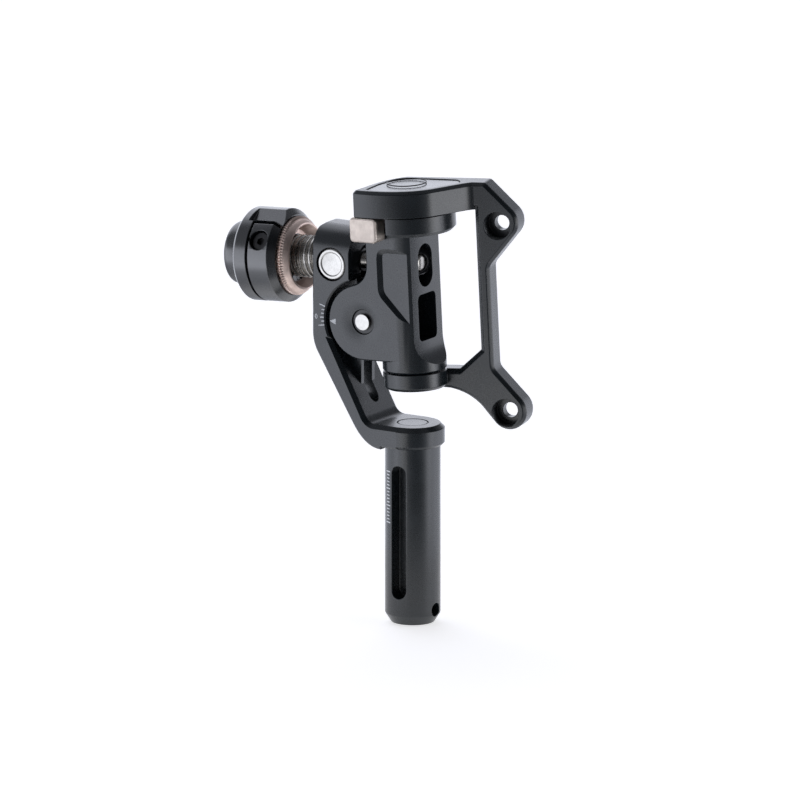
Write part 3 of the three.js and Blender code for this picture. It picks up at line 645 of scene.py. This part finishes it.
def floor():
    """White floor that glows a little, so that the shadow on it stays faint."""
    data = bmesh.new()
    bmesh.ops.create_circle(data, cap_ends=True, segments=96, radius=FLOOR_RADIUS)
    obj = add_object("floor", mesh_from("floor", data))
    obj.location.z = -FLOOR_BELOW
    material, shader = new_material("pale_floor")
    diffuse = shader.add("ShaderNodeBsdfDiffuse", {"Color": (0.84, 0.83, 0.86, 1)}).outputs[0]
    glow = shader.add("ShaderNodeEmission", {"Color": WHITE, "Strength": FLOOR_GLOW}).outputs[0]
    pale = shader.add("ShaderNodeAddShader", {0: diffuse, 1: glow}).outputs[0]
    place = shader.add("ShaderNodeTexCoord").outputs["Object"]
    reach = shader.add("ShaderNodeVectorMath", {0: place}, operation="LENGTH").outputs["Value"]
    near = shader.ramp(reach, FLOOR_REFLECTED + FLOOR_FADE, FLOOR_REFLECTED)
    seen = shader.math("MAXIMUM", shader.add("ShaderNodeLightPath").outputs["Is Camera Ray"], near)
    clear = shader.add("ShaderNodeBsdfTransparent").outputs[0]
    total = shader.add("ShaderNodeMixShader", {0: seen, 1: clear, 2: pale}).outputs[0]
    shader.add("ShaderNodeOutputMaterial", {"Surface": total})
    obj.data.materials.append(material)


# Brightness of the surround by the cosine of the angle from the camera's side: 1 is behind the camera.
PANEL_STRENGTH = 4.0
LEFT_PANELS = (
    (-1.0, 0.4), (-0.66, 0.285), (-0.41, 0.315), (-0.17, 0.355), (0.035, 0.47), (0.22, 0.61),
    (0.39, 0.6), (0.545, 0.33), (0.67, 0.2), (0.78, 0.09), (0.87, 0.06), (1.0, 0.04))
RIGHT_PANELS = (
    (-1.0, 0.4), (-0.85, 0.28), (-0.57, 0.32), (-0.34, 0.44), (-0.1, 0.45), (0.09, 0.44),
    (0.28, 0.52), (0.44, 0.3), (0.59, 0.1), (0.8, 0.03), (1.0, 0.04))
SIDE_BLEND = 0.06  # half the width of the change from left panels to right ones
# The same by height: a bright belt round the horizon, dark overhead.
BELT = ((-1.0, 0.45), (-0.5, 0.45), (-0.35, 1.0), (0.22, 1.0), (0.34, 0.16), (1.0, 0.12))
SOFTBOX = Vector((-0.62, 0.5, 0.6)).normalized()
SOFTBOX_EDGE = (0.8, 0.95)
SOFTBOX_STRENGTH = 1.6
COOL = (0.9, 0.93, 1.03, 1)


def profile_of(shader, value, points):
    """Brightness along a list of (value from -1 to 1, level) points."""
    ramp = shader.add("ShaderNodeValToRGB", {"Fac": shader.ramp(value, -1.0, 1.0)})
    stops = ramp.color_ramp.elements
    while len(stops) < len(points):
        stops.new(0.5)
    for stop, (at, level) in zip(stops, points):
        stop.position = (at + 1) / 2
        stop.color = (level, level, level, 1)
    return ramp.outputs["Color"]


def facing(shader, direction, axis):
    """Cosine of the angle between the viewed direction and an axis."""
    node = shader.add("ShaderNodeVectorMath", {0: direction, 1: tuple(axis)}, operation="DOT_PRODUCT")
    return node.outputs["Value"]


def surround():
    """What the metal reflects: bright panels at the sides, dark behind the camera and overhead.
    The camera itself sees plain white."""
    world = bpy.data.worlds.new("studio")
    bpy.context.scene.world = world
    world.use_nodes = True
    shader = Shader(world.node_tree)
    direction = shader.add("ShaderNodeTexCoord").outputs["Generated"]
    toward = facing(shader, direction, BACK)
    rightward = shader.ramp(facing(shader, direction, RIGHT), -SIDE_BLEND, SIDE_BLEND)
    left = profile_of(shader, toward, LEFT_PANELS)
    right = profile_of(shader, toward, RIGHT_PANELS)
    side = shader.mix(rightward, left, right)
    height = shader.add("ShaderNodeSeparateXYZ", {0: direction}).outputs["Z"]
    belt = profile_of(shader, height, BELT)
    panels = shader.math("MULTIPLY", shader.math("MULTIPLY", side, belt), PANEL_STRENGTH)
    softbox = shader.ramp(facing(shader, direction, SOFTBOX), *SOFTBOX_EDGE, 0.0, SOFTBOX_STRENGTH)
    strength = shader.math("ADD", panels, softbox)
    lit = shader.add("ShaderNodeBackground", {"Color": COOL, "Strength": strength}).outputs[0]
    white = shader.add("ShaderNodeBackground", {"Color": WHITE, "Strength": 1.0}).outputs[0]
    camera_ray = shader.add("ShaderNodeLightPath").outputs["Is Camera Ray"]
    mixed = shader.add("ShaderNodeMixShader", {0: camera_ray, 1: lit, 2: white}).outputs[0]
    shader.add("ShaderNodeOutputWorld", {"Surface": mixed})


def card(name, place, target, width, height, radiance):
    """A near white card of the given width and height in metres: an area light of even radiance."""
    data = bpy.data.lights.new(name, "AREA")
    data.shape = "RECTANGLE"
    data.size = width
    data.size_y = height
    data.energy = radiance * math.pi * width * height
    obj = add_object(name, data)
    obj.location = place
    obj.rotation_euler = (Vector(target) - Vector(place)).to_track_quat("-Z", "Y").to_euler()


camera()
floor()
surround()
card("right_card", (0.45, 0.07, 0.1), (0, 0, 0.1), 0.22, 0.24, 1.7)
card("low_front_card", (-0.02, -0.3, -0.02), (0, 0, 0.06), 0.16, 0.08, 1.3)
bpy.context.scene.view_settings.view_transform = "Standard"

bpy.context.view_layer.update()
